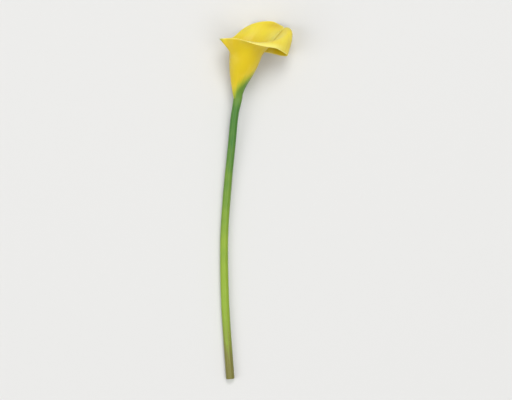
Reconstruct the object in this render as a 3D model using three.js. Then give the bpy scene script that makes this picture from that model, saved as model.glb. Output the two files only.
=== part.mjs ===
// A cut arum lily lying on a table, in millimetres, +Z up.
// The bloom points along +Y with its back rim on the table, and the stem trails along -Y.
// Shapes are drawn about the foot of the spathe, and the finished group is moved so that its
// origin is the middle of its base.
import * as THREE from 'three';
import { NURBSCurve } from 'three/addons/curves/NURBSCurve.js';

// Driving dimensions
const TABLE = -12.2;            // height of the table below the foot of the spathe
const SEAT_GAP = 0.3;           // clearance where one piece sits on another
const SHEET_FOOT = 0.8;         // thickness of the spathe at its foot
const SHEET_RIM = 0.7;          // thickness of the spathe at its rim
const STEM_TOP_RADIUS = 3.2;
const STEM_CUT_RADIUS = 3.5;    // the stem is a little thicker at its cut end
const PEG_RADIUS = 1.5;         // the stem's tip inside the foot of the spathe, which carries the spadix
const PEG_HEIGHT = 1.6;
const SPADIX_TIP = 35;          // how far up the tube the spadix reaches
const SPADIX_RADIUS = 2.8;
const FLORET_RELIEF = 0.5;
const FLORETS_ROUND = 8;
const FLORETS_LONG = 13;

// The axis of the tube: distance up the bloom, sideways, height, and the tube's radius there
const TUBE = [
  { up: 0, side: 0, lift: 0, radius: 3.0 },
  { up: 6, side: -0.2, lift: 0.8, radius: 3.8 },
  { up: 16, side: 1.5, lift: 2.6, radius: 7.7 },
  { up: 26, side: 4.0, lift: 5.4, radius: 11.0 },
  { up: 35, side: 6.1, lift: 8.4, radius: 12.8 },
  { up: 43, side: 7.7, lift: 11.4, radius: 13.5 },
];

// The rolled blade, station by station round the axis, from its inner edge to its outer edge.
// turn is the angle from the tip's side (-X) towards the sky, rise scales the heights of the tube's
// rows, crest is the handle that the blade bends over, and rim is a point of its free edge.
const BLADE = [
  { turn: -195, rise: 0.92, crest: [24.2, 43.3, 9.2], rim: [27.2, 45.8, 9.9] },
  { turn: -175, rise: 0.97, crest: [28.6, 49.8, 4.8], rim: [35.0, 54.8, 4.7] },
  { turn: -157, rise: 1.0, crest: [31.7, 55.1, -0.2], rim: [38.4, 59.2, -2.7] },
  { turn: -140, rise: 1.0, crest: [30.2, 56.6, -3.0], rim: [35.8, 61.0, -7.4] },
  { turn: -120, rise: 1.0, crest: [25.0, 59.0, -5.5], rim: [29.5, 64.2, -13.3] },
  { turn: -100, rise: 1.0, crest: [18.5, 58.5, -6.0], rim: [21.0, 64.2, -9.8] },
  { turn: -80, rise: 1.0, crest: [12.0, 57.0, -5.5], rim: [13.0, 62.4, -10.0] },
  { turn: -62, rise: 1.0, crest: [6.5, 55.0, -4.5], rim: [6.2, 59.2, -12.9] },
  { turn: -45, rise: 0.99, crest: [1.0, 51.5, -1.0], rim: [1.0, 55.0, -5.0] },
  { turn: -25, rise: 0.96, crest: [-3.5, 47.5, 4.0], rim: [-3.2, 51.0, 3.0] },
  { turn: -5, rise: 0.9, crest: [-6.5, 44.8, 10.5], rim: [-7.2, 49.3, 11.5] },
  { turn: 12, rise: 0.86, crest: [-6.8, 42.6, 15.5], rim: [-10.8, 49.0, 17.8] },
  { turn: 25, rise: 0.84, crest: [-7.4, 40.6, 19.5], rim: [-14.8, 48.6, 21.0] },
  { turn: 38, rise: 0.86, crest: [-6.4, 42.6, 23.5], rim: [-9.9, 49.0, 23.2] },
  { turn: 55, rise: 0.92, crest: [-3.0, 44.8, 28.5], rim: [-4.0, 48.9, 29.5] },
  { turn: 70, rise: 0.97, crest: [2.5, 46.3, 30.5], rim: [3.0, 47.6, 33.5] },
  { turn: 90, rise: 1.0, crest: [9.0, 47.8, 31.0], rim: [10.0, 44.9, 36.0] },
  { turn: 110, rise: 1.0, crest: [17.0, 48.0, 30.0], rim: [17.0, 42.9, 35.5] },
  { turn: 130, rise: 1.0, crest: [26.5, 49.5, 25.0], rim: [24.5, 41.5, 32.0] },
  { turn: 148, rise: 1.0, crest: [38.0, 54.0, 17.0], rim: [32.0, 40.4, 26.0] },
  { turn: 163, rise: 1.0, crest: [48.0, 61.5, 9.0], rim: [38.5, 37.2, 16.0] },
  { turn: 178, rise: 1.0, crest: [52.8, 69.0, 0.5], rim: [41.6, 35.2, 5.0] },
  { turn: 195, rise: 1.0, crest: [51.0, 72.0, -7.5], rim: [37.0, 35.2, -5.5] },
  { turn: 208, rise: 0.98, crest: [45.0, 68.0, -13.0], rim: [30.0, 37.0, -9.5] },
  { turn: 219, rise: 0.95, crest: [34.0, 55.0, -11.5], rim: [25.0, 38.0, -8.5] },
  { turn: 230, rise: 0.9, crest: [21.0, 41.0, -5.5], rim: [20.0, 38.5, -6.0] },
];
const LAP = [0.75, 0.8, 0.9, 0.96, 1, 1];   // share of the overlap that each row of the tube has
const OUTER_LAP = { from: 110, over: 50, step: 0.65 };
const INNER_LAP = { from: -90, over: 40, step: -0.55 };
const COLUMNS_PER_STATION = 3;
const ROWS = 30;
const RIM_CROWDING = 0.8;       // below 1, rows of facets crowd towards the rim

// The stem's middle line, from the foot of the spathe to the cut end
const STEM_LINE = [
  [0, 0], [-1.1, -7], [-2.6, -16], [-4.8, -38.6], [-8.4, -74.8], [-10.9, -111],
  [-11.2, -135], [-10.3, -171.4], [-8.4, -201.6], [-6, -234],
];
const STEM_TOUCHDOWN = -126;    // from here to the cut end the stem lies on the table
const STEM_SIDES = 16;
const STEM_STEPS = 46;

const YELLOW = new THREE.MeshStandardMaterial({
  color: 0xf2cf2e, roughness: 0.5, metalness: 0, side: THREE.DoubleSide,
});
const ORANGE = new THREE.MeshStandardMaterial({ color: 0xf0a81e, roughness: 0.85, metalness: 0 });
const GREEN = new THREE.MeshStandardMaterial({ color: 0x5f9440, roughness: 0.5, metalness: 0 });

const smooth = (x) => THREE.MathUtils.smoothstep(x, 0, 1);

// A closed body from rings of points, with its two ends closed by a fan
function skin(rings) {
  const sides = rings[0].length;
  const points = rings.flat();
  const faces = [];
  for (let ring = 0; ring + 1 < rings.length; ring++) {
    for (let side = 0; side < sides; side++) {
      const a = ring * sides + side;
      const b = ring * sides + (side + 1) % sides;
      faces.push(a, b, b + sides, a, b + sides, a + sides);
    }
  }
  for (const [start, flip] of [[0, true], [(rings.length - 1) * sides, false]]) {
    const middle = points.length;
    const sum = new THREE.Vector3();
    for (let side = 0; side < sides; side++) sum.add(points[start + side]);
    points.push(sum.divideScalar(sides));
    for (let side = 0; side < sides; side++) {
      const a = start + side;
      const b = start + (side + 1) % sides;
      faces.push(...(flip ? [middle, b, a] : [middle, a, b]));
    }
  }
  return body(points, faces);
}

function body(points, faces) {
  const geometry = new THREE.BufferGeometry().setFromPoints(points);
  geometry.setIndex(faces);
  geometry.computeVertexNormals();
  return geometry;
}

// A point of the tube's axis with the directions towards the tip's side and towards the sky
const axisLine = new THREE.CatmullRomCurve3(TUBE.map((t) => new THREE.Vector3(t.side, t.up, t.lift)));

function tubeFrame(up) {
  const last = TUBE.length - 1;
  let row = TUBE.findIndex((t) => t.up > up) - 1;
  if (row < 0) row = last - 1;
  const share = (up - TUBE[row].up) / (TUBE[row + 1].up - TUBE[row].up);
  const t = Math.min(1, (row + share) / last);
  const along = axisLine.getTangent(t);
  const tipward = new THREE.Vector3(-1, 0, 0).addScaledVector(along, along.x).normalize();
  const skyward = new THREE.Vector3().crossVectors(along, tipward);
  if (skyward.z < 0) skyward.negate();
  const radius = THREE.MathUtils.lerp(TUBE[row].radius, TUBE[row + 1].radius, share);
  return { centre: axisLine.getPoint(t), along, tipward, skyward, radius };
}

function around(frame, degrees, radius) {
  const angle = THREE.MathUtils.degToRad(degrees);
  return frame.centre.clone()
    .addScaledVector(frame.tipward, radius * Math.cos(angle))
    .addScaledVector(frame.skyward, radius * Math.sin(angle));
}

// Rails run round the bloom through every station: one for each row of the tube, the crest and the rim
function bladeRails() {
  const [outer, inner] = [OUTER_LAP, INNER_LAP];
  const rails = TUBE.map((row, k) => BLADE.map((station) => {
    let turn = station.turn;
    if (turn > outer.from) turn = outer.from + (turn - outer.from) * LAP[k];
    if (turn < inner.from) turn = inner.from + (turn - inner.from) * LAP[k];
    const frame = tubeFrame(row.up * station.rise);
    const step = outer.step * smooth((station.turn - outer.from) / outer.over)
      + inner.step * smooth((inner.from - station.turn) / inner.over);
    return around(frame, turn, frame.radius + step);
  }));
  rails.push(BLADE.map((station) => new THREE.Vector3(...station.crest)));
  rails.push(BLADE.map((station) => new THREE.Vector3(...station.rim)));
  return rails.map((points) => new THREE.CatmullRomCurve3(points));
}

// The middle surface of the blade, as columns of points from its foot to its rim
function bladeColumns() {
  const rails = bladeRails();
  const degree = 3;
  const spans = rails.length - degree;
  const knots = [];
  for (let k = 0; k < rails.length + degree + 1; k++) {
    knots.push(THREE.MathUtils.clamp((k - degree) / spans, 0, 1));
  }
  const count = (BLADE.length - 1) * COLUMNS_PER_STATION;
  const columns = [];
  for (let c = 0; c <= count; c++) {
    const handles = rails.map((rail) => rail.getPoint(c / count)).map((p) => new THREE.Vector4(p.x, p.y, p.z, 1));
    const rib = new NURBSCurve(degree, knots, handles);
    const column = [];
    for (let row = 0; row <= ROWS; row++) {
      column.push(rib.getPoint((row / ROWS) ** RIM_CROWDING));
    }
    columns.push(column);
  }
  return columns;
}

// The spathe: the blade given its thickness, closed round its edges, and flattened where it rests
function spatheGeometry() {
  const columns = bladeColumns();
  const last = columns.length - 1;
  const stride = ROWS + 1;
  const outside = [];
  const inside = [];
  columns.forEach((column, c) => column.forEach((point, row) => {
    const across = columns[Math.min(last, c + 1)][row].clone().sub(columns[Math.max(0, c - 1)][row]);
    const along = column[Math.min(ROWS, row + 1)].clone().sub(column[Math.max(0, row - 1)]);
    const normal = across.cross(along).normalize();
    const half = THREE.MathUtils.lerp(SHEET_FOOT, SHEET_RIM, row / ROWS) / 2;
    outside.push(point.clone().addScaledVector(normal, half));
    inside.push(point.clone().addScaledVector(normal, -half));
  }));
  const points = [...outside, ...inside];
  for (const point of points) point.z = Math.max(point.z, TABLE);
  const faces = [];
  const quad = (a, b, c, d) => faces.push(a, b, c, a, c, d);
  const back = outside.length;
  for (let c = 0; c < last; c++) {
    for (let row = 0; row < ROWS; row++) {
      const a = c * stride + row;
      const [b, d, e] = [a + stride, a + stride + 1, a + 1];
      faces.push(a, b, d, a, d, e);
      faces.push(a + back, d + back, b + back, a + back, e + back, d + back);
    }
    const foot = c * stride;
    quad(foot, foot + back, foot + stride + back, foot + stride);
    const rim = foot + ROWS;
    quad(rim, rim + stride, rim + stride + back, rim + back);
  }
  for (let row = 0; row < ROWS; row++) {
    quad(row, row + 1, row + 1 + back, row + back);
    const end = last * stride + row;
    quad(end, end + back, end + 1 + back, end + 1);
  }
  return body(points, faces);
}

// The spadix: a finger on the tube's axis, covered in florets set in two crossing spirals
function spadixGeometry() {
  const sides = FLORETS_ROUND * 4;
  const steps = FLORETS_LONG * 4;
  const start = PEG_HEIGHT + SEAT_GAP;
  const rings = [];
  for (let step = 0; step <= steps; step++) {
    const share = step / steps;
    const frame = tubeFrame(THREE.MathUtils.lerp(start, SPADIX_TIP, share));
    const swell = 0.78 + 0.22 * smooth(share / 0.25) - 0.18 * smooth((share - 0.45) / 0.5);
    const rounded = Math.sqrt(Math.max(0, 1 - Math.max(0, (share - 0.93) / 0.07) ** 2));
    const radius = SPADIX_RADIUS * swell * Math.max(0.25, rounded);
    const relief = FLORET_RELIEF * smooth(share / 0.06) * Math.max(0.25, rounded);
    const ring = [];
    for (let side = 0; side < sides; side++) {
      const round = side / sides * FLORETS_ROUND * Math.PI * 2;
      const long = share * FLORETS_LONG * Math.PI * 2;
      const bump = Math.cos((round + long) / 2) ** 2 * Math.cos((round - long) / 2) ** 2;
      ring.push(around(frame, side / sides * 360, radius + relief * bump));
    }
    rings.push(ring);
  }
  return skin(rings);
}

// The stem: from its peg inside the spathe's foot, down to the table, and along it to the cut
function stemHeight(up) {
  const lying = TABLE + STEM_TOP_RADIUS;
  const share = Math.max(0, (up - STEM_TOUCHDOWN) / -STEM_TOUCHDOWN);
  return lying * (1 - share * share);
}

function stemGeometry() {
  const line = new THREE.CatmullRomCurve3(STEM_LINE.map(([x, y]) => new THREE.Vector3(x, y, stemHeight(y))));
  const rings = [];
  const ringAt = (centre, along, radius) => {
    const sideways = new THREE.Vector3(0, 0, 1).cross(along).normalize();
    const upward = new THREE.Vector3().crossVectors(along, sideways);
    const ring = [];
    for (let side = 0; side < STEM_SIDES; side++) {
      const angle = (side + 0.5) / STEM_SIDES * Math.PI * 2;
      const point = centre.clone()
        .addScaledVector(sideways, radius * Math.cos(angle))
        .addScaledVector(upward, radius * Math.sin(angle));
      point.z = Math.max(point.z, TABLE);
      ring.push(point);
    }
    rings.push(ring);
  };
  for (let step = 0; step < STEM_STEPS; step++) {
    const share = 1 - step / STEM_STEPS;
    const along = line.getTangentAt(share).negate();
    ringAt(line.getPointAt(share), along, THREE.MathUtils.lerp(STEM_TOP_RADIUS, STEM_CUT_RADIUS, share));
  }
  const { centre, along } = tubeFrame(0);
  const shoulder = centre.clone().addScaledVector(along, -SEAT_GAP);
  ringAt(shoulder, along, STEM_TOP_RADIUS);
  ringAt(shoulder, along, PEG_RADIUS);
  ringAt(centre.addScaledVector(along, PEG_HEIGHT), along, PEG_RADIUS);
  return skin(rings);
}

const flower = new THREE.Group();
const pieces = [
  ['spathe', spatheGeometry(), YELLOW],
  ['spadix', spadixGeometry(), ORANGE],
  ['stem', stemGeometry(), GREEN],
];
for (const [name, geometry, material] of pieces) {
  const mesh = new THREE.Mesh(geometry, material);
  mesh.name = name;
  flower.add(mesh);
}

const extent = new THREE.Box3().setFromObject(flower);
const middle = extent.getCenter(new THREE.Vector3());
flower.position.set(-middle.x, -middle.y, -extent.min.z);
flower.updateMatrixWorld(true);

export default flower;
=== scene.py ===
"""Dresses the cut arum lily: its rolled yellow spathe, its spadix of florets and its green stem.

Shapes are worked out in millimetres about the foot of the spathe, with X to the side away from
the tip, Y up the bloom and Z to the sky, and are then set in the row's frame in metres.
"""

import math

import bmesh
import bpy
import numpy as np
from bpy.props import FloatProperty, FloatVectorProperty, IntProperty, PointerProperty
from mathutils import Matrix, Vector


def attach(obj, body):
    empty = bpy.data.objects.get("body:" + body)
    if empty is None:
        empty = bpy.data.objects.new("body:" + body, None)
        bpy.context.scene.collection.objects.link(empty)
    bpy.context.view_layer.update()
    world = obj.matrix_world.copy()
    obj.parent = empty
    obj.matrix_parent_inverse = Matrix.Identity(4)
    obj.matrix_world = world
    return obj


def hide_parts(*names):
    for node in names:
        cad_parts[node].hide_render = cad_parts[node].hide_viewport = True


bl_info = {
    "name": "Arum lily flower",
    "version": (1, 0, 0),
    "blender": (4, 5, 0),
    "location": "View3D > Sidebar > Arum lily",
    "description": "Builds a cut yellow arum lily over its solid model",
    "category": "Add Mesh",
}

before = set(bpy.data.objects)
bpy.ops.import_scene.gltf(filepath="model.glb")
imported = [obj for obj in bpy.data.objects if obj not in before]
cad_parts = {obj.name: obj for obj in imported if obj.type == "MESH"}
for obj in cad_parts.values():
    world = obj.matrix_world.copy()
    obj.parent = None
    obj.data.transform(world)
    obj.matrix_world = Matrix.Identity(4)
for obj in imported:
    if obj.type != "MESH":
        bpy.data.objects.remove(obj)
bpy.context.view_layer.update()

MM = 1000                            # millimetres in a metre
FOOT = np.array([-0.015393572807, 0.084767562866, 0.012199999809])  # the spathe's foot, in the row's frame
TABLE = -12.2                        # height of the table, from the spathe's foot
SHARP = math.radians(50)             # a fold sharper than this is an edge of its own

# The axis of the tube: distance up the bloom, sideways, height, and the tube's radius there
TUBE = np.array([
    [0, 0, 0, 3.0], [6, -0.2, 0.8, 3.8], [16, 1.5, 2.6, 7.7],
    [26, 4.0, 5.4, 11.0], [35, 6.1, 8.4, 12.8], [43, 7.7, 11.4, 13.5],
])

# Stations round the blade, from its inner edge to its outer edge: the angle from the tip's side
# towards the sky, the share of the tube's heights, the handle it bends over, and its free edge
BLADE = [
    (-195, 0.92, (24.2, 43.3, 9.2), (27.2, 45.8, 9.9)),
    (-175, 0.97, (28.6, 49.8, 4.8), (35.0, 54.8, 4.7)),
    (-157, 1.0, (31.7, 55.1, -0.2), (38.4, 59.2, -2.7)),
    (-140, 1.0, (30.2, 56.6, -3.0), (35.8, 61.0, -7.4)),
    (-120, 1.0, (25.0, 59.0, -5.5), (29.5, 64.2, -13.3)),
    (-100, 1.0, (18.5, 58.5, -6.0), (21.0, 64.2, -9.8)),
    (-80, 1.0, (12.0, 57.0, -5.5), (13.0, 62.4, -10.0)),
    (-62, 1.0, (6.5, 55.0, -4.5), (6.2, 59.2, -12.9)),
    (-45, 0.99, (1.0, 51.5, -1.0), (1.0, 55.0, -5.0)),
    (-25, 0.96, (-3.5, 47.5, 4.0), (-3.2, 51.0, 3.0)),
    (-5, 0.9, (-6.5, 44.8, 10.5), (-7.2, 49.3, 11.5)),
    (12, 0.86, (-6.8, 42.6, 15.5), (-10.8, 49.0, 17.8)),
    (25, 0.84, (-7.4, 40.6, 19.5), (-14.8, 48.6, 21.0)),
    (38, 0.86, (-6.4, 42.6, 23.5), (-9.9, 49.0, 23.2)),
    (55, 0.92, (-3.0, 44.8, 28.5), (-4.0, 48.9, 29.5)),
    (70, 0.97, (2.5, 46.3, 30.5), (3.0, 47.6, 33.5)),
    (90, 1.0, (9.0, 47.8, 31.0), (10.0, 44.9, 36.0)),
    (110, 1.0, (17.0, 48.0, 30.0), (17.0, 42.9, 35.5)),
    (130, 1.0, (26.5, 49.5, 25.0), (24.5, 41.5, 32.0)),
    (148, 1.0, (38.0, 54.0, 17.0), (32.0, 40.4, 26.0)),
    (163, 1.0, (48.0, 61.5, 9.0), (38.5, 37.2, 16.0)),
    (178, 1.0, (52.8, 69.0, 0.5), (41.6, 35.2, 5.0)),
    (195, 1.0, (51.0, 72.0, -7.5), (37.0, 35.2, -5.5)),
    (208, 0.98, (45.0, 68.0, -13.0), (30.0, 37.0, -9.5)),
    (219, 0.95, (34.0, 55.0, -11.5), (25.0, 38.0, -8.5)),
    (230, 0.9, (21.0, 41.0, -5.5), (20.0, 38.5, -6.0)),
]
LAP = [0.75, 0.8, 0.9, 0.96, 1, 1]   # share of the overlap that each row of the tube has
OUTER_LAP = (110, 50, 0.65)          # where the sheet steps outwards, over what angle, by how much
INNER_LAP = (-90, 40, -0.55)
TUCK = (142, 165)                    # where the inner edge is drawn against the layer round it
TUCK_AT_FOOT, TUCK_AT_RIM = 0.42, 0.5
RIM_CROWDING = 0.8                   # under 1, the rows of faces crowd towards the rim
LONG_WAVE, SHORT_WAVE = 13.0, 5.3    # degrees of turn for a radian of each of the blade's waves
SHORT_SHARE = 0.6                    # height of the short wave, as a share of the long one
RIM_THINNING = 0.45                  # how much of the sheet's thickness goes in its last stretch

FREE_EDGE_ROUND = 0.00009            # rounding of the sheet's free edges, in metres
INNER_FACE_LIFT = 0.3                # the inner face stays this far above the table
GREEN_REACH = 19                     # length of bloom over which the foot's green turns yellow
GREEN_LINE, GREEN_LEAN = 10, 9.5     # how far up it turns, and how much further away from the tip
TIP_TURN = 25                        # the station of the pointed tip
MIDRIB_TURN, MIDRIB_TONE = 3.5, 0.38   # width and depth of the olive line that runs up to the tip

# Patches of the blade, the middle and the reach each way: the tip's own olive, two of painted shade and one
# of painted highlight
APEX = ((-14.8, 48.6, 21.0), (4.5, 4.5, 4.5))          # the pointed tip
BACK_CORNER_SHADE = ((31.5, 61.0, -7.0), (8.0, 3.0, 8.0))    # painted shade where the back rim turns in under the rolled lip
LIP_CORNER_SHADE = ((42.5, 42.0, 3.0), (5.0, 6.5, 9.0))      # painted shade on the far side of the rolled lip
LIP_HOLLOW_HIGHLIGHT = ((32.0, 50.5, 9.0), (6.5, 6.5, 12.0))     # painted highlight in the hollow where the rolled lip rises

# The stem's middle line, sideways and up, from the foot of the spathe to the cut end
STEM_LINE = [
    (0, 0), (-1.1, -7), (-2.6, -16), (-4.8, -38.6), (-8.4, -74.8), (-10.9, -111),
    (-11.2, -135), (-10.3, -171.4), (-8.4, -201.6), (-6, -234),
]
STEM_TOUCHDOWN = -126                # where the stem comes down to the table
STEM_TOP_RADIUS, STEM_CUT_RADIUS = 3.2, 3.5
FOOT_OUTSIDE = 3.4                   # the spathe's outer radius at its foot, where nothing laps
SEAT_BLEND = 12                      # length of stem that takes the shape of the spathe's foot
SEAT_DROP, PEG_DROP = 0.02, 0.03     # how far below the foot the stem's top and its peg begin
CUT_ROUND, CUT_ROUND_LENGTH = 0.25, 0.8   # rounding of the stem towards its cut end
STEM_SAMPLES = 1200                  # points of the stem's line before it is cut into even steps
UNDER_BLOOM = 10                     # length of stem that takes its colour
PEG_RADIUS, PEG_HEIGHT, SEAT_GAP = 1.5, 1.6, 0.3   # the stem's peg in the foot, and the spadix's gap to it
SPADIX_TOP, SPADIX_RADIUS = 34.5, 2.8
SPADIX_SIDES, SPADIX_STEPS = 32, 72
FLORETS_FROM, FLORETS_TO = 0.02, 0.992   # where the florets begin and end, as shares of the finger
FLORET_TURN = math.radians(137.508)  # from one floret of the spiral to the next
FLORET_PACKING = 0.83                # share of its own square that each floret takes
FLORET_DEPTH = 0.72                  # depth of a floret, as a share of its width
FLORET_BATCH = 20                    # florets that are made together

# Rings of the cut end, from its edge inwards: how wide each is and how far it sinks, in metres
CUT_RINGS = [(0.00035, 0.0), (0.0005, 0.00012), (0.0011, 0.00005), (0.0008, 0.0)]

# Name, place, size, power and colour of each light
LIGHTS = [
    ("key_light", (0.30, 2.10, 3.60), 2.3, 82.0, (1.0, 0.99, 0.96)),
    ("fill_light", (-2.75, -0.90, 3.05), 3.1, 60.0, (1.0, 1.0, 1.0)),
    ("top_light", (1.35, -0.90, 3.95), 3.1, 64.0, (1.0, 1.0, 1.0)),
]
SKY_STRENGTH = 0.34
FLOOR_HALF_WIDTH = 4.0
LENS = 300.0                         # long, so that the flower is seen almost without perspective
VIEW_WIDTH, VIEW_LEVEL = 0.425, 0.02   # the width that the camera takes in, and at what height


def size_of(name, text, default, low, high):
    return FloatProperty(name=name, description=text, default=default, min=low, max=high,
                         subtype="DISTANCE", unit="LENGTH", precision=5)


def colour_of(name, text, default):
    return FloatVectorProperty(name=name, description=text, default=default, size=3,
                               min=0, max=1, subtype="COLOR")


class ArumSizes(bpy.types.PropertyGroup):
    """Sizes and counts of the flower's dressed pieces."""

    sheet_foot: size_of("Sheet at the foot", "Thickness of the spathe at its foot",
                        0.0008, 0.0002, 0.002)
    sheet_rim: size_of("Sheet at the rim", "Thickness of the spathe at its free edge",
                       0.0005, 0.0001, 0.002)
    wave: size_of("Wave", "Height of the soft waves of the blade", 0.00025, 0, 0.001)
    columns: IntProperty(name="Columns", description="Columns of faces for each station of the blade",
                         default=9, min=2, max=12)
    rows: IntProperty(name="Rows", description="Rows of faces from the foot to the rim",
                      default=92, min=20, max=120)
    veins: IntProperty(name="Veins", description="Veins round the spathe", default=90, min=10, max=300)
    floret: size_of("Floret", "Width of one floret of the spadix", 0.00105, 0.0005, 0.003)
    stem_sides: IntProperty(name="Stem sides", description="Faces round the stem",
                            default=48, min=12, max=96)
    stem_steps: IntProperty(name="Stem steps", description="Faces along the stem",
                            default=300, min=40, max=600)


class ArumColours(bpy.types.PropertyGroup):
    """Colours of the flower and its floor."""

    outside: colour_of("Outside", "Golden yellow of the spathe's outer face", (0.70, 0.525, 0.010))
    inside: colour_of("Inside", "Lemon yellow of the spathe's inner face", (0.86, 0.68, 0.045))
    # The rim's pale yellow is painted highlight on the free edges, on the front lip and in the lip's
    # hollow; it also mottles the blade
    rim: colour_of("Rim", "Pale yellow of the free edge", (0.98, 0.86, 0.21))
    # The veins' deeper gold is also the painted shade at the back corner and on the lip's far side
    vein: colour_of("Vein", "Deeper gold of the veins", (0.67, 0.43, 0.004))
    turning: colour_of("Turning", "Yellow green between the foot and the yellow", (0.42, 0.46, 0.025))
    foot: colour_of("Foot", "Green of the spathe's foot", (0.125, 0.255, 0.03))
    beak: colour_of("Beak", "Olive of the pointed tip", (0.36, 0.40, 0.03))
    spadix: colour_of("Spadix", "Orange yellow of the florets", (0.90, 0.50, 0.03))
    pollen: colour_of("Pollen", "Pale grains on the florets", (0.95, 0.76, 0.22))
    stem_high: colour_of("Stem near the bloom", "Green of the stem's upper part", (0.045, 0.175, 0.020))
    stem_low: colour_of("Stem near the cut", "Yellower green of the stem's lower part", (0.26, 0.39, 0.026))
    lowest_brown: colour_of("Sheath", "Brown at the stem's lowest part", (0.17, 0.13, 0.035))
    speck: colour_of("Speck", "Brown specks near the cut end", (0.15, 0.08, 0.02))
    pith: colour_of("Pith", "Pale flesh of the cut end", (0.66, 0.76, 0.34))
    floor: colour_of("Floor", "Pale floor under the flower", (0.68, 0.68, 0.675))


class Strand:
    """A number on its way through a material's nodes, with Python's own arithmetic."""

    def __init__(self, surface, socket):
        self.surface = surface
        self.socket = socket

    def math(self, operation, first, second):
        node = self.surface.node("ShaderNodeMath", {"operation": operation}, {0: first, 1: second})
        return Strand(self.surface, node.outputs[0])

    def __add__(self, other):
        return self.math("ADD", self, other)

    def __sub__(self, other):
        return self.math("SUBTRACT", self, other)

    def __rsub__(self, other):
        return self.math("SUBTRACT", other, self)

    def __mul__(self, other):
        return self.math("MULTIPLY", self, other)

    __radd__ = __add__
    __rmul__ = __mul__

    def ramp(self, low, high):
        """0 below low and 1 above high, with a smooth rise between."""
        node = self.surface.node("ShaderNodeMapRange", {"interpolation_type": "SMOOTHSTEP"},
                                 {"Value": self, "From Min": low, "From Max": high})
        return Strand(self.surface, node.outputs["Result"])


class Surface:
    """A material whose nodes are added one by one before its Principled shader."""

    def __init__(self, name):
        self.material = bpy.data.materials.new(name)
        self.material.use_nodes = True
        self.tree = self.material.node_tree
        self.tree.nodes.clear()
        self.shader = self.node("ShaderNodeBsdfPrincipled")
        self.node("ShaderNodeOutputMaterial", {}, {"Surface": self.shader.outputs[0]})

    def node(self, kind, settings=None, sockets=None):
        node = self.tree.nodes.new(kind)
        for name, value in (settings or {}).items():
            setattr(node, name, value)
        self.plug(node, sockets or {})
        return node

    def plug(self, node, sockets):
        for name, value in sockets.items():
            if isinstance(value, Strand):
                value = value.socket
            if isinstance(value, bpy.types.NodeSocket):
                self.tree.links.new(value, node.inputs[name])
            else:
                node.inputs[name].default_value = value

    def finish(self, **sockets):
        """Sets the shader's sockets, named with underscores for spaces."""
        self.plug(self.shader, {name.replace("_", " "): value for name, value in sockets.items()})
        return self.material

    def attribute(self, name, output="Fac"):
        socket = self.node("ShaderNodeAttribute", {"attribute_name": name}).outputs[output]
        return Strand(self, socket) if output == "Fac" else socket

    def scaled(self, vector, scale):
        node = self.node("ShaderNodeMapping", {"vector_type": "POINT"}, {"Vector": vector, "Scale": scale})
        return node.outputs["Vector"]

    def noise(self, vector, scale, detail=2.0, rough=0.5):
        node = self.node("ShaderNodeTexNoise", {}, {
            "Vector": vector, "Scale": scale, "Detail": detail, "Roughness": rough})
        return Strand(self, node.outputs["Fac"])

    def cells(self, vector, scale):
        node = self.node("ShaderNodeTexVoronoi", {}, {"Vector": vector, "Scale": scale})
        return Strand(self, node.outputs["Distance"])

    def blend(self, factor, first, second):
        node = self.node("ShaderNodeMix", {"data_type": "RGBA"}, {0: factor, 6: first, 7: second})
        return node.outputs[2]

    def bump(self, height, strength, distance):
        node = self.node("ShaderNodeBump", {}, {
            "Height": height, "Strength": strength, "Distance": distance})
        return node.outputs["Normal"]


def paint(colour):
    return (*colour, 1.0)


def smooth(value, low=0.0, high=1.0):
    share = np.clip((value - low) / (high - low), 0, 1)
    return share * share * (3 - 2 * share)


def through(points, t):
    """A point of the centripetal curve through the points, for t from 0 to 1."""
    last = len(points) - 1
    k = min(int(t * last), last - 1)
    share = t * last - k
    b, c = points[k], points[k + 1]
    a = points[k - 1] if k else 2 * b - c
    d = points[k + 2] if k + 2 <= last else 2 * c - b
    ab, bc, cd = (max(np.linalg.norm(q - p) ** 0.5, 1e-4) for p, q in ((a, b), (b, c), (c, d)))
    start = ((b - a) / ab - (c - a) / (ab + bc) + (c - b) / bc) * bc
    end = ((c - b) / bc - (d - b) / (bc + cd) + (d - c) / cd) * bc
    return (b + start * share + (3 * (c - b) - 2 * start - end) * share ** 2
            + (2 * (b - c) + start + end) * share ** 3)


def unit(vector):
    return vector / np.linalg.norm(vector, axis=-1, keepdims=True)


def tube_frame(up):
    """The tube's centre, direction, tip's side, sky side and radius at a distance up the bloom."""
    axis = TUBE[:, [1, 0, 2]]
    last = len(TUBE) - 1
    t = min(1.0, np.interp(up, TUBE[:, 0], np.arange(last + 1)) / last)
    along = unit(through(axis, min(1, t + 1e-4)) - through(axis, max(0, t - 1e-4)))
    tipward = unit(np.array([-1.0, 0, 0]) + along * along[0])
    skyward = np.cross(along, tipward)
    skyward = skyward if skyward[2] > 0 else -skyward
    return through(axis, t), along, tipward, skyward, np.interp(up, TUBE[:, 0], TUBE[:, 3])


def around(centre, tipward, skyward, angle, radius):
    return centre + radius * (math.cos(angle) * tipward + math.sin(angle) * skyward)


def lap_step(turn):
    """How far the sheet stands outside or inside its roll where its edges lap."""
    outer, inner = OUTER_LAP, INNER_LAP
    return (outer[2] * smooth((turn - outer[0]) / outer[1])
            + inner[2] * smooth((inner[0] - turn) / inner[1]))


def tucked(turn, share=0.0):
    """How far the inner edge is drawn outwards, so that it lies against the layer round it."""
    return smooth(-turn, *TUCK) * (TUCK_AT_FOOT + (TUCK_AT_RIM - TUCK_AT_FOOT) * smooth(share, 0.5, 0.85))


def nearness(points, patch):
    """1 in the middle of a patch, falling to 0 beyond its reach."""
    middle, reach = patch
    return np.exp(-np.linalg.norm((points - middle) / reach, axis=2) ** 2)


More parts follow.
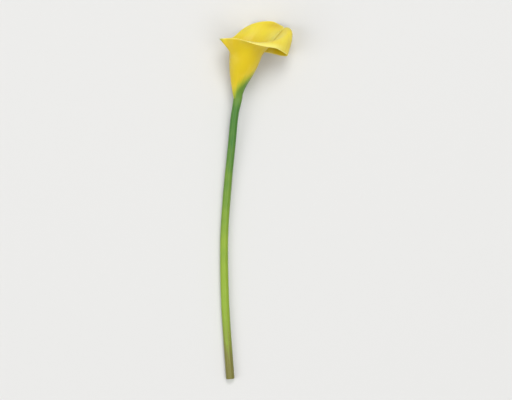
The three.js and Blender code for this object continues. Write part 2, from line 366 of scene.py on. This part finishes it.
def blade_rails():
    """The lines that run round the bloom: one for each row of the tube, the bend and the rim."""
    rails = []
    for (up, _, _, _), lap in zip(TUBE, LAP):
        rail = []
        for turn, rise, _, _ in BLADE:
            centre, _, tipward, skyward, radius = tube_frame(up * rise)
            placed = turn
            if turn > OUTER_LAP[0]:
                placed = OUTER_LAP[0] + (turn - OUTER_LAP[0]) * lap
            if turn < INNER_LAP[0]:
                placed = INNER_LAP[0] + (turn - INNER_LAP[0]) * lap
            rail.append(around(centre, tipward, skyward, math.radians(placed), radius + lap_step(turn)))
        rails.append(np.array(rail))
    rails.append(np.array([crest for _, _, crest, _ in BLADE]))
    rails.append(np.array([rim for _, _, _, rim in BLADE]))
    return rails


def spline_weights(count, positions):
    """How much each handle of a cubic spline with closed ends counts at each position."""
    knots = np.clip((np.arange(count + 4) - 3) / (count - 3), 0, 1)
    t = np.minimum(positions, 1 - 1e-9)[:, None]
    weights = ((t >= knots[:-1]) & (t < knots[1:])).astype(float)
    for degree in (1, 2, 3):
        rise = knots[degree:-1] - knots[:-degree - 1]
        fall = knots[degree + 1:] - knots[1:-degree]
        up = (t - knots[:-degree - 1]) / np.where(rise > 0, rise, 1) * (rise > 0)
        down = (knots[degree + 1:] - t) / np.where(fall > 0, fall, 1) * (fall > 0)
        weights = up * weights[:, :-1] + down * weights[:, 1:]
    return weights


def blade_surface(columns, rows):
    """The blade's middle surface as a grid of points, and its outward directions."""
    rails = blade_rails()
    weights = spline_weights(len(rails), (np.arange(rows + 1) / rows) ** RIM_CROWDING)
    points = np.array([weights @ np.array([through(rail, c / columns) for rail in rails])
                       for c in range(columns + 1)])
    outward = unit(np.cross(np.gradient(points, axis=0), np.gradient(points, axis=1)))
    return points, outward


def placed_piece(name, bm, materials, node):
    """Makes the bmesh a piece that stands for a solid of the frame, shaded smooth."""
    for face in bm.faces:
        face.smooth = True
    for edge in bm.edges:
        edge.smooth = edge.calc_face_angle(0.0) < SHARP
    mesh = bpy.data.meshes.new(name)
    bm.to_mesh(mesh)
    bm.free()
    for material in materials:
        mesh.materials.append(material)
    piece = bpy.data.objects.new(name, mesh)
    bpy.context.scene.collection.objects.link(piece)
    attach(piece, "root")
    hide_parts(node)


def close_ends(bm, sides):
    """Merges the points where the grid meets itself and fills its open ends with new faces."""
    bmesh.ops.remove_doubles(bm, verts=bm.verts[:], dist=1e-7)
    ends = [edge for edge in bm.edges if edge.is_boundary]
    return bmesh.ops.holes_fill(bm, edges=ends, sides=sides)["faces"]


def to_row(point):
    """Sets a point in millimetres about the spathe's foot in the row's frame."""
    return Vector(FOOT + np.asarray(point) / MM)


def spathe_skin(sizes, colours):
    skin = Surface("spathe_skin")
    sheet = skin.attribute("sheet", "Vector")
    inner = skin.attribute("inner")
    rim = skin.attribute("rim_mm")
    here = skin.node("ShaderNodeTexCoord").outputs["Object"]
    vein = skin.noise(skin.scaled(sheet, (sizes.veins, 2.2, 7.0)), 1.0, 2.0)
    broad = skin.noise(skin.scaled(sheet, (sizes.veins / 5, 1.2, 7.0)), 1.0, 2.0)
    cloud = skin.noise(here, 70.0, 3.0)
    grain = skin.noise(here, 2600.0, 2.0)
    flesh = skin.blend(inner, paint(colours.outside), paint(colours.inside))
    # Painted shade: the veins' deeper gold laid on the inner face at the back corner and on the lip's far
    # side
    flesh = skin.blend(skin.attribute("painted_shade") * inner * 0.7, flesh, paint(colours.vein))
    streaks = vein.ramp(0.52, 0.74) * 0.24 + broad.ramp(0.45, 0.75) * 0.14
    flesh = skin.blend(streaks, flesh, paint(colours.vein))
    flesh = skin.blend(cloud.ramp(0.45, 0.8) * 0.14, flesh, paint(colours.rim))
    # Painted highlight: the rim's pale yellow laid in the hollow where the rolled lip rises
    flesh = skin.blend(skin.attribute("pale") * inner * 0.8, flesh, paint(colours.rim))
    # Painted highlight: a broad pale band on the inner face along the front lip, and a pale line along
    # every free edge
    lip = skin.attribute("lip") * inner * (1 - rim.ramp(1.5, 6.5)) * 0.9
    flesh = skin.blend(lip + (1 - lip) * (1 - rim.ramp(0.1, 1.3)) * 0.7, flesh, paint(colours.rim))
    beak = skin.attribute("beak") + (vein - 0.5) * 0.3
    flesh = skin.blend(beak.ramp(0.3, 1.0) * 0.8, flesh, paint(colours.beak))
    green = skin.attribute("green") + (vein - 0.5) * 0.22 + (broad - 0.5) * 0.25
    flesh = skin.blend(green.ramp(0.12, 0.62), flesh, paint(colours.turning))
    flesh = skin.blend(green.ramp(0.42, 0.9), flesh, paint(colours.foot))
    relief = vein * 0.6 + broad * 0.5 + grain * 0.15
    return skin.finish(
        Base_Color=flesh, Roughness=0.42 + (cloud - 0.5) * 0.2 + (vein - 0.5) * 0.1,
        Subsurface_Weight=0.2, Subsurface_Radius=(1.0, 0.6, 0.12), Subsurface_Scale=0.002,
        Specular_IOR_Level=0.3, Coat_Weight=0.05, Coat_Roughness=0.35,
        Normal=skin.bump(relief, 0.35, 0.0003))


class ARUM_OT_spathe(bpy.types.Operator):
    """Rolls the yellow spathe into its funnel, with its lip turned out and its edges lapped"""

    bl_idname = "arum.spathe"
    bl_label = "Spathe"

    def execute(self, context):
        sizes, colours = context.scene.arum_sizes, context.scene.arum_colours
        columns, rows = sizes.columns * (len(BLADE) - 1), sizes.rows
        points, outward = blade_surface(columns, rows)
        share = np.arange(rows + 1) / rows
        turn = np.interp(np.linspace(0, len(BLADE) - 1, columns + 1), np.arange(len(BLADE)),
                         [station[0] for station in BLADE])
        free = (smooth(turn, -150, -110) * (1 - smooth(turn, 120, 160)))[:, None]
        swell = np.sin(turn / LONG_WAVE) + SHORT_SHARE * np.sin(turn / SHORT_WAVE + 1.0)
        swell = swell[:, None] * np.sin(share * 2.4 + 0.6)
        waves = swell * free * smooth(share, 0.45, 0.9) * sizes.wave * MM
        points = points + outward * (waves + tucked(turn[:, None], share))[..., None]
        thickness = (sizes.sheet_foot + (sizes.sheet_rim - sizes.sheet_foot) * share) * MM
        half = thickness / 2 * (1 - RIM_THINNING * smooth(share, 0.95, 1.0))

        steps = np.linalg.norm(np.diff(points, axis=1), axis=2)
        to_rim = np.pad(np.cumsum(steps[:, ::-1], axis=1)[:, ::-1], ((0, 0), (0, 1)))
        green_line = GREEN_LINE - GREEN_LEAN * np.cos(np.radians(turn))[:, None]
        midrib = np.exp(-((turn - TIP_TURN) / MIDRIB_TURN) ** 2)[:, None] * smooth(share, 0.35, 0.95)
        # painted highlight: the turns of the front lip that get a broad pale band
        lip = smooth(turn, 35, 70) * (1 - smooth(turn, 140, 165))
        tones = {
            "green": np.clip((green_line - points[..., 1]) / GREEN_REACH + 0.5, 0, 1),
            "beak": np.maximum(nearness(points, APEX), midrib * MIDRIB_TONE),
            "rim_mm": to_rim,
            "lip": np.repeat(lip[:, None], rows + 1, axis=1),
            # painted shade at the back corner and on the lip's far side
            "painted_shade": np.maximum(nearness(points, BACK_CORNER_SHADE), 0.6 * nearness(points, LIP_CORNER_SHADE)),
            # painted highlight in the hollow where the rolled lip rises
            "pale": nearness(points, LIP_HOLLOW_HIGHLIGHT),
        }

        bm = bmesh.new()
        bmesh.ops.create_grid(bm, x_segments=columns, y_segments=rows, size=0.5)
        side = bm.verts.layers.float.new("inner")
        sheet = bm.verts.layers.float_vector.new("sheet")
        marks = [(bm.verts.layers.float.new(name), values) for name, values in tones.items()]
        grown = bmesh.ops.extrude_face_region(bm, geom=bm.faces[:])
        for vert in grown["geom"]:
            if isinstance(vert, bmesh.types.BMVert):
                vert[side] = 1.0
        for vert in bm.verts:
            c = round((vert.co.x + 0.5) * columns)
            row = round((vert.co.y + 0.5) * rows)
            vert[sheet] = (c / columns, row / rows, vert[side])
            for layer, values in marks:
                vert[layer] = values[c, row]
            point = points[c, row] + outward[c, row] * half[row] * (1 - 2 * vert[side])
            point[2] = max(point[2], TABLE + INNER_FACE_LIFT * vert[side])
            vert.co = to_row(point)
        bmesh.ops.recalc_face_normals(bm, faces=bm.faces[:])
        free_edge = [edge for edge in bm.edges if edge.calc_face_angle(0.0) > SHARP
                     and min(vert[sheet][1] for vert in edge.verts) > 0.02]
        bmesh.ops.bevel(bm, geom=free_edge, offset=FREE_EDGE_ROUND, offset_type="OFFSET", affect="EDGES",
                        segments=2, profile=0.5, clamp_overlap=True, material=-1)
        placed_piece("spathe_sheet", bm, [spathe_skin(sizes, colours)], "spathe")
        return {"FINISHED"}


def floret_skin(colours):
    skin = Surface("spadix_florets")
    here = skin.node("ShaderNodeTexCoord").outputs["Object"]
    tone = skin.attribute("tone")
    dust = skin.noise(here, 5200.0, 2.0)
    flesh = skin.blend(tone * 0.55, paint(colours.spadix), paint(colours.pollen))
    flesh = skin.blend(dust.ramp(0.5, 0.68) * 0.7, flesh, paint(colours.pollen))
    return skin.finish(Base_Color=flesh, Roughness=0.8 + (dust - 0.5) * 0.2, Subsurface_Weight=0.1,
                       Subsurface_Radius=(1.0, 0.5, 0.1), Subsurface_Scale=0.001,
                       Normal=skin.bump(dust, 0.5, 0.0002))


def add_florets(bm, spots, chance):
    """Adds a few florets to the spadix, each with a tone of its own."""
    cluster = bmesh.new()
    tone = cluster.verts.layers.float.new("tone")
    for spot in spots:
        made = bmesh.ops.create_uvsphere(cluster, u_segments=8, v_segments=5, radius=1.0, matrix=spot)
        shade = chance.uniform(0, 1)
        for vert in made["verts"]:
            vert[tone] = shade
    mesh = bpy.data.meshes.new("florets")
    cluster.to_mesh(mesh)
    cluster.free()
    bm.from_mesh(mesh)
    bpy.data.meshes.remove(mesh)


class ARUM_OT_spadix(bpy.types.Operator):
    """Stands the finger of small florets on the axis of the tube"""

    bl_idname = "arum.spadix"
    bl_label = "Spadix"

    def execute(self, context):
        sizes, colours = context.scene.arum_sizes, context.scene.arum_colours
        start = PEG_HEIGHT + SEAT_GAP
        length = SPADIX_TOP - start

        def core(share):
            """The finger's radius: slim at its foot, tapering again higher up, with a round end."""
            swell = 0.78 + 0.22 * smooth(share, 0, 0.25) - 0.18 * smooth(share, 0.45, 0.95)
            return SPADIX_RADIUS * swell * math.sqrt(max(0.0, 1 - (max(0.0, share - 0.93) / 0.07) ** 2))

        bm = bmesh.new()
        bmesh.ops.create_grid(bm, x_segments=SPADIX_SIDES, y_segments=SPADIX_STEPS, size=0.5)
        bm.verts.layers.float.new("tone")
        for vert in bm.verts:
            angle, share = vert.co.x * math.tau, vert.co.y + 0.5
            centre, _, tipward, skyward, _ = tube_frame(start + length * share)
            vert.co = to_row(around(centre, tipward, skyward, angle, core(share)))
        close_ends(bm, SPADIX_SIDES)
        chance = np.random.default_rng(7)
        width = sizes.floret * MM
        place, turn = FLORETS_FROM, 0.0
        spots = []
        while place < FLORETS_TO:
            radius = core(place)
            centre, along, tipward, skyward, _ = tube_frame(start + length * place)
            out = math.cos(turn) * tipward + math.sin(turn) * skyward
            tilt = unit(out + along * smooth(place, 0.9, 1.0) * 1.6)
            beside = unit(np.cross(along, tilt))
            turned = Matrix(np.array([beside, np.cross(tilt, beside), tilt]).T.tolist()).to_4x4()
            grow = sizes.floret * 0.5 * chance.uniform(0.92, 1.08)
            shape = Matrix.Diagonal((grow, grow, grow * FLORET_DEPTH, 1))
            spots.append(Matrix.Translation(to_row(centre + out * radius * 1.01)) @ turned @ shape)
            turn += FLORET_TURN
            place += FLORET_PACKING * width * width / (math.tau * max(radius, 0.9) * length)
        for first in range(0, len(spots), FLORET_BATCH):
            add_florets(bm, spots[first:first + FLORET_BATCH], chance)
        bmesh.ops.recalc_face_normals(bm, faces=bm.faces[:])
        placed_piece("spadix_finger", bm, [floret_skin(colours)], "spadix")
        return {"FINISHED"}


def stem_skin(colours):
    skin = Surface("stem_skin")
    rod = skin.attribute("rod", "Vector")
    down = skin.attribute("down")
    under_bloom = skin.attribute("under_bloom")
    streak = skin.noise(skin.scaled(rod, (1.6, 1.6, 0.05)), 1.0, 3.0)
    fine = skin.noise(skin.scaled(rod, (7.0, 7.0, 0.12)), 1.0, 2.0)
    broad = skin.noise(skin.scaled(rod, (0.12, 0.12, 0.05)), 1.0, 2.0)
    spots = skin.noise(skin.scaled(rod, (1.1, 1.1, 0.7)), 1.0, 4.0, 0.6)
    low = (down + (broad - 0.5) * 0.35).ramp(0.12, 0.62)
    flesh = skin.blend(low, paint(colours.stem_high), paint(colours.stem_low))
    flesh = skin.blend(streak.ramp(0.4, 0.75) * 0.22, flesh, paint(colours.stem_low))
    # browner towards the cut end
    brown = (down + (streak - 0.5) * 0.3 + (broad - 0.5) * 0.15).ramp(0.74, 0.97)
    flesh = skin.blend(brown * 0.85, flesh, paint(colours.lowest_brown))
    flesh = skin.blend(fine.ramp(0.5, 0.8) * 0.1, flesh, paint(colours.pith))
    flesh = skin.blend(spots.ramp(0.6, 0.68) * down.ramp(0.55, 1.0) * 0.7, flesh, paint(colours.speck))
    flesh = skin.blend(under_bloom, flesh, paint(colours.foot))
    relief = (streak * 0.8 + fine * 0.4) * (1 - under_bloom)
    return skin.finish(
        Base_Color=flesh, Roughness=0.42 + (streak - 0.5) * 0.2,
        Subsurface_Weight=0.12, Subsurface_Radius=(0.5, 1.0, 0.2), Subsurface_Scale=0.0015,
        Specular_IOR_Level=0.35, Coat_Weight=0.05, Coat_Roughness=0.3,
        Normal=skin.bump(relief, 0.3, 0.0003))


def stem_flesh(colours):
    flesh = Surface("stem_cut")
    rod = flesh.attribute("rod", "Vector")
    level = flesh.scaled(rod, (1.0, 1.0, 0.0))
    bundle = 1 - flesh.cells(level, 1.15).ramp(0.12, 0.3)
    cell = flesh.noise(level, 6.0, 2.0)
    distance = flesh.node("ShaderNodeVectorMath", {"operation": "LENGTH"}, {0: level}).outputs["Value"]
    bark = Strand(flesh, distance).ramp(2.6, 3.3)
    colour = flesh.blend(bundle * 0.6, paint(colours.pith), paint(colours.stem_low))
    colour = flesh.blend(cell.ramp(0.4, 0.7) * 0.25, colour, paint(colours.speck))
    colour = flesh.blend(bark * 0.8, colour, paint(colours.stem_high))
    return flesh.finish(Base_Color=colour, Roughness=0.35 + cell * 0.2, Subsurface_Weight=0.2,
                        Subsurface_Scale=0.001, Normal=flesh.bump(cell - bundle * 0.5, 0.4, 0.0003))


def stem_course(steps):
    """The stem's middle line from its cut end to the foot of the spathe, in even steps."""
    lying = TABLE + STEM_TOP_RADIUS
    line = np.array([(x, y, lying * (1 - max(0.0, (y - STEM_TOUCHDOWN) / -STEM_TOUCHDOWN) ** 2))
                     for x, y in STEM_LINE])
    dense = np.array([through(line, t) for t in np.linspace(1, 0, STEM_SAMPLES)])
    length = np.concatenate([[0], np.cumsum(np.linalg.norm(np.diff(dense, axis=0), axis=1))])
    even = np.linspace(0, length[-1], steps + 1)
    points = np.array([np.interp(even, length, dense[:, k]) for k in range(3)]).T
    return points, unit(np.gradient(points, axis=0)), even


def across(ahead):
    """The two directions square to the stem's own: one level, one upwards."""
    sideways = unit(np.cross([0, 0, 1.0], ahead))
    return sideways, np.cross(ahead, sideways)


def foot_radius(angle):
    """The outside of the spathe's foot, with the step where its outer edge ends."""
    degrees = math.degrees(angle) % 360
    reach = OUTER_LAP[0] + (BLADE[-1][0] - OUTER_LAP[0]) * LAP[0]
    if OUTER_LAP[0] < degrees < reach:
        turn = OUTER_LAP[0] + (degrees - OUTER_LAP[0]) / LAP[0]
    elif reach <= degrees < 270:
        turn = INNER_LAP[0] + (degrees - 360 - INNER_LAP[0]) / LAP[0]
    else:
        turn = 0
    return FOOT_OUTSIDE + lap_step(turn) + tucked(turn)


class ARUM_OT_stem(bpy.types.Operator):
    """Draws the green stem from its cut end on the table up to the foot of the spathe"""

    bl_idname = "arum.stem"
    bl_label = "Stem"

    def execute(self, context):
        sizes, colours = context.scene.arum_sizes, context.scene.arum_colours
        sides, steps = sizes.stem_sides, sizes.stem_steps
        points, tangents, even = stem_course(steps)
        centre, along, tipward, _, _ = tube_frame(0)
        rows = []
        for point, tangent, far in zip(points, tangents, even):
            near = smooth(far, even[-1] - SEAT_BLEND, even[-1])
            ahead = unit(tangent * (1 - near) + along * near)
            round_off = CUT_ROUND * (1 - smooth(far, 0, CUT_ROUND_LENGTH))
            radius = STEM_CUT_RADIUS + (STEM_TOP_RADIUS - STEM_CUT_RADIUS) * far / even[-1] - round_off
            rows.append((point, ahead, radius, near))
        rows[-1] = (centre - along * SEAT_DROP, along, STEM_TOP_RADIUS, 1.0)
        rows.append((centre - along * PEG_DROP, along, PEG_RADIUS, 0.0))
        rows.append((centre + along * PEG_HEIGHT, along, PEG_RADIUS, 0.0))

        bm = bmesh.new()
        bmesh.ops.create_grid(bm, x_segments=sides, y_segments=len(rows) - 1, size=0.5)
        rod = bm.verts.layers.float_vector.new("rod")
        down = bm.verts.layers.float.new("down")
        under_bloom = bm.verts.layers.float.new("under_bloom")
        for vert in bm.verts:
            angle = vert.co.x * math.tau
            row = round((vert.co.y + 0.5) * (len(rows) - 1))
            point, ahead, radius, near = rows[row]
            sideways, upward = across(ahead)
            far = even[min(row, steps)]
            uneven = 0.03 * math.sin(far / 9.0) * math.sin(angle * 2 + far / 40) * (1 - near)
            wide = radius + (foot_radius(angle) - radius) * near + uneven
            place = point + wide * (math.cos(angle) * sideways + math.sin(angle) * upward)
            place[2] = max(place[2], TABLE)
            vert[rod] = (wide * math.cos(angle), wide * math.sin(angle), far)
            vert[down] = 1 - far / even[-1]
            vert[under_bloom] = smooth(far, even[-1] - UNDER_BLOOM, even[-1])
            vert.co = to_row(place)
        cut = min(close_ends(bm, sides), key=lambda face: face.calc_center_median().y)
        cut.material_index = 1
        for width, depth in CUT_RINGS:
            bmesh.ops.inset_region(bm, faces=[cut], thickness=width, depth=-depth)
        sideways, upward = across(tangents[0])
        for vert in {vert for face in bm.faces if face.material_index == 1 for vert in face.verts}:
            reach = (np.array(vert.co) - FOOT) * MM - points[0]
            vert[rod] = (reach @ sideways, reach @ upward, 0)
        bmesh.ops.recalc_face_normals(bm, faces=bm.faces[:])
        placed_piece("stem_stalk", bm, [stem_skin(colours), stem_flesh(colours)], "stem")
        return {"FINISHED"}


def soft_light(name, place, size, power, colour):
    data = bpy.data.lights.new(name, "AREA")
    data.shape = "DISK"
    data.size = size
    data.energy = power
    data.color = colour
    lamp = bpy.data.objects.new(name, data)
    lamp.location = place
    lamp.rotation_euler = (-Vector(place)).to_track_quat("-Z", "Y").to_euler()
    bpy.context.scene.collection.objects.link(lamp)


class ARUM_OT_stage(bpy.types.Operator):
    """Lays the pale floor, hangs the soft lights and sets the camera over the flower"""

    bl_idname = "arum.stage"
    bl_label = "Floor, lights and camera"

    def execute(self, context):
        scene = context.scene
        paper = Surface("floor_paper")
        tooth = paper.noise(paper.node("ShaderNodeTexCoord").outputs["Object"], 900.0, 3.0)
        bm = bmesh.new()
        bmesh.ops.create_grid(bm, x_segments=1, y_segments=1, size=FLOOR_HALF_WIDTH)
        mesh = bpy.data.meshes.new("floor")
        bm.to_mesh(mesh)
        bm.free()
        mesh.materials.append(paper.finish(Base_Color=paint(scene.arum_colours.floor), Roughness=0.9,
                                           Normal=paper.bump(tooth, 0.05, 0.0002)))
        floor = bpy.data.objects.new("floor", mesh)
        scene.collection.objects.link(floor)

        for name, place, size, power, colour in LIGHTS:
            soft_light(name, place, size, power, colour)
        world = bpy.data.worlds.new("soft_sky")
        world.use_nodes = True
        sky = world.node_tree.nodes["Background"].inputs
        sky["Color"].default_value = (1.0, 1.0, 1.0, 1.0)
        sky["Strength"].default_value = SKY_STRENGTH
        scene.world = world
        scene.view_settings.view_transform = "Standard"

        data = bpy.data.cameras.new("camera")
        data.lens = LENS
        camera = bpy.data.objects.new("camera", data)
        camera.location = (0, 0, VIEW_LEVEL + VIEW_WIDTH * LENS / data.sensor_width)
        scene.collection.objects.link(camera)
        scene.camera = camera
        return {"FINISHED"}


class ARUM_PT_flower(bpy.types.Panel):
    """The flower's pieces, sizes and colours in the sidebar"""

    bl_idname = "ARUM_PT_flower"
    bl_label = "Arum lily flower"
    bl_space_type = "VIEW_3D"
    bl_region_type = "UI"
    bl_category = "Arum lily"

    def draw(self, context):
        for group in (context.scene.arum_sizes, context.scene.arum_colours):
            for name in group.__annotations__:
                self.layout.prop(group, name)
        for step in STEPS:
            self.layout.operator(step.bl_idname)


STEPS = (ARUM_OT_spathe, ARUM_OT_spadix, ARUM_OT_stem, ARUM_OT_stage)
CLASSES = (ArumSizes, ArumColours, *STEPS, ARUM_PT_flower)


def register():
    for kind in CLASSES:
        bpy.utils.register_class(kind)
    bpy.types.Scene.arum_sizes = PointerProperty(type=ArumSizes)
    bpy.types.Scene.arum_colours = PointerProperty(type=ArumColours)


def unregister():
    del bpy.types.Scene.arum_colours
    del bpy.types.Scene.arum_sizes
    for kind in reversed(CLASSES):
        bpy.utils.unregister_class(kind)


def main():
    register()
    bpy.ops.arum.spathe()
    bpy.ops.arum.spadix()
    bpy.ops.arum.stem()
    bpy.ops.arum.stage()


if __name__ == "__main__":
    main()
